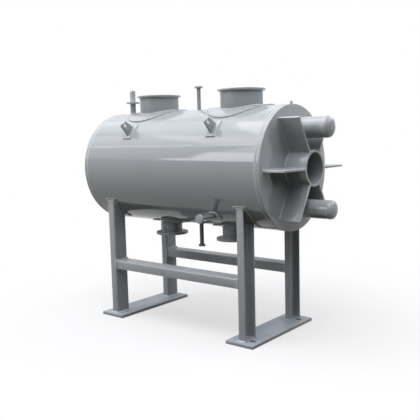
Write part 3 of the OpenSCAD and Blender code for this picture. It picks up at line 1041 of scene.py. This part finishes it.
# %% Path helpers
BEAD_STEP = 3 * MM


def sampled(points, closed=False):
    """Points along a path, no more than one bead step apart."""
    places = [Vector(p) for p in points]
    if closed:
        places.append(places[0])
    line = []
    for here, there in zip(places, places[1:]):
        count = max(1, round((there - here).length / BEAD_STEP))
        line += [here.lerp(there, i / count) for i in range(count)]
    if not closed:
        line.append(places[-1])
    return line


def circle(centre, axis, radius):
    """Points on a circle about an axis through centre."""
    axis = Vector(axis)
    out = axis.orthogonal().normalized()
    count = round(2 * math.pi * radius / BEAD_STEP)
    return [Vector(centre) + Quaternion(axis, 2 * math.pi * i / count) @ (out * radius)
            for i in range(count)]


def dropped(points, radius, up=1):
    """The same points, moved straight down or up onto the drum."""
    return [Vector((p.x, p.y, AXIS_Z + up * math.sqrt(radius ** 2 - p.y ** 2)))
            for p in points]


# %% [markdown]
# ## From paths to beads
# A poly curve with a bevel depth becomes the wire, and each of its points
# carries its own radius. Converting it to a mesh and painting it a lighter
# grey, a painted highlight along each bead, ends the work.


# %% The bead helper
RIPPLE = (0.94, 1.05, 1.01)


def beads(name, paths, slot="vessel_paint"):
    """Turns (points, closed, radius) paths into one mesh of weld beads."""
    deselect()
    bpy.ops.curve.primitive_bezier_curve_add()
    wire = bpy.context.object
    wire.data.splines.clear()
    for points, closed, radius in paths:
        spline = wire.data.splines.new("POLY")
        spline.points.add(len(points) - 1)
        for i, (knot, place) in enumerate(zip(spline.points, points)):
            knot.co = (*place, 1)
            knot.radius = radius / MM * RIPPLE[i % len(RIPPLE)]
        spline.use_cyclic_u = closed
    wire.data.dimensions = "3D"
    wire.data.bevel_depth = MM
    wire.data.bevel_resolution = 1
    wire.data.use_fill_caps = True
    bpy.ops.object.convert(target="MESH")
    piece = bpy.context.object
    finish(piece, name, (), slot, smooth=60)
    # Beads take a lighter grey, a painted highlight.
    piece.data.materials[0] = bead_highlight_enamel


# %% [markdown]
# ## Girth welds
# Two welds join the covers to the shell. They are butt welds, so they are wide
# and flat and stand only 2.5 mm proud. Each is centred 6 mm in from the shell's
# end, where the machine laid it.

# %% Girth welds
GIRTH = 10 * MM
PROUD = 2.5 * MM
GIRTH_BACK = 6 * MM
girths = [(circle((s * (SHELL_END - GIRTH_BACK), 0, AXIS_Z), ALONG,
                  SHELL_R - GIRTH + PROUD), True, GIRTH) for s in (-1, 1)]
beads("girth_welds", girths)

# %% [markdown]
# ## Welds of the connection end
# A fillet weld fills the corner wherever one plate stands on another. One runs
# round the hub and one round each stub, and a flat butt weld joins each cap to
# its stub. Each rib has one on both sides, which runs down the cover and turns
# the corner along the hub.

# %% Connection end welds
FILLET = 7.5 * MM
THIN_FILLET = 6 * MM
BUTT = 4.5 * MM
BUTT_SINK = 2.5 * MM
end_paths = [(circle((FACE_X, 0, AXIS_Z), ALONG, hub_r), True, FILLET)]
for end, centre, radius in stubs:
    end_paths.append((circle((FACE_X, 0, centre.z), ALONG, radius), True, FILLET))
    end_paths.append((circle((end, 0, centre.z), ALONG, radius - BUTT_SINK), True,
                      BUTT))
for i in range(6):
    turn = Quaternion(ALONG, math.radians(60 * i))
    for edge in (-RIB_T / 2, RIB_T / 2):
        corner = [(FACE_X, rib_reach, edge), (FACE_X, hub_r, edge),
                  (hub_end, hub_r, edge)]
        end_paths.append((sampled([AXIS_POINT + turn @ Vector(c) for c in corner]),
                          False, THIN_FILLET))
beads("connection_end_welds", end_paths)

# %% [markdown]
# ## Nozzle welds
# Each nozzle has two beads on the drum, one round the pad and one between pad
# and pipe. Both paths are flat circles dropped straight onto the drum, just as
# the pad was. The pad's bead is narrow and tucked 1 mm under its edge. A
# smaller bead holds each collar or flange.

# %% Nozzle welds
PAD_FILLET = 3.5 * MM
PAD_TUCK = 1 * MM
COLLAR_FILLET = 5 * MM
nozzle_paths = []
for name, up in (("left_top", 1), ("right_top", 1), ("left_bottom", -1),
                 ("right_bottom", -1)):
    x = middle(name + "_pad").x
    outer = circle((x, 0, 0), UPRIGHT, reach(name + "_pad").x - PAD_TUCK)
    inner = circle((x, 0, 0), UPRIGHT, reach(name + "_pipe").x)
    nozzle_paths.append((dropped(outer, SHELL_R, up), True, PAD_FILLET))
    nozzle_paths.append((dropped(inner, PAD_R, up), True, FILLET))
for side in ("left", "right"):
    for pipe_node, end_node, corner in (("_top_pipe", "_top_collar", 0),
                                        ("_bottom_pipe", "_bottom_flange", 1)):
        centre = middle(side + end_node)
        centre.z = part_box(side + end_node)[corner][2]
        nozzle_paths.append((circle(centre, UPRIGHT, reach(side + pipe_node).x), True,
                             COLLAR_FILLET))
beads("nozzle_welds", nozzle_paths)

# %% [markdown]
# ## Pad welds
# A strip pad is welded all round. Its bead follows two arcs about the axis and
# two straight lines along the drum. The round pad of the level connection gets
# a circle that is dropped onto the crown and turned, as the pad itself was.

# %% Pad welds
ARC_STEPS = 60


def on_drum(x, angle, side):
    """A point on the drum, at an angle off the crown."""
    return (x, side * SHELL_R * math.sin(angle), AXIS_Z + SHELL_R * math.cos(angle))


pad_paths = []
for node, places in pad_places.items():
    for x0, x1, a0, a1, side in places:
        arc = [a0 + (a1 - a0) * i / ARC_STEPS for i in range(ARC_STEPS + 1)]
        loop = ([on_drum(x0, a, side) for a in arc] +
                [on_drum(x1, a, side) for a in reversed(arc)])
        pad_paths.append((sampled(loop, True), True, PAD_FILLET))
level_ring = circle((level_x, 0, 0), UPRIGHT, reach("level_pad").x - PAD_TUCK)
level_turn = Quaternion(ALONG, LEVEL_ANGLE)
pad_paths.append(([AXIS_POINT + level_turn @ (p - AXIS_POINT)
                   for p in dropped(level_ring, SHELL_R)], True, PAD_FILLET))
beads("pad_welds", pad_paths)

# %% [markdown]
# ## Frame welds
# A leg is welded to its base plate on three sides and to its saddle pad round
# the cut top, and a beam is welded between two legs. The channels are open on
# one side, so these paths are open too and the beads end in small flat caps.
# The feet and the beams' ends carry the load of lifting and hauling, so they
# have the widest beads on the plant.

# %% Frame welds
FOOT_FILLET = 13 * MM
BEAM_FILLET = 10 * MM
frame_paths = []
for side, x_sign in (("left", -1), ("right", 1)):
    for face, y_sign in (("front", -1), ("rear", 1)):
        low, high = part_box(side + "_" + face + "_leg")
        xs = (low[0], high[0]) if x_sign > 0 else (high[0], low[0])
        ys = (high[1], low[1]) if y_sign > 0 else (low[1], high[1])
        outline = [(xs[1], ys[0]), (xs[0], ys[0]), (xs[0], ys[1]), (xs[1], ys[1])]
        foot = low[2]
        frame_paths.append((sampled([(x, y, foot) for x, y in outline]), False,
                            FOOT_FILLET))
        top = sampled([(x, y, 0) for x, y in outline])
        frame_paths.append((dropped(top, SADDLE_R, -1), False, THIN_FILLET))
for face in ("front", "rear"):
    low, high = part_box(face + "_beam")
    for x in (low[0], high[0]):
        frame_paths.append((sampled([(x, low[1], low[2]), (x, low[1], high[2]),
                                     (x, high[1], high[2]), (x, high[1], low[2])]),
                            False, BEAM_FILLET))
beads("frame_welds", frame_paths, "frame_paint")
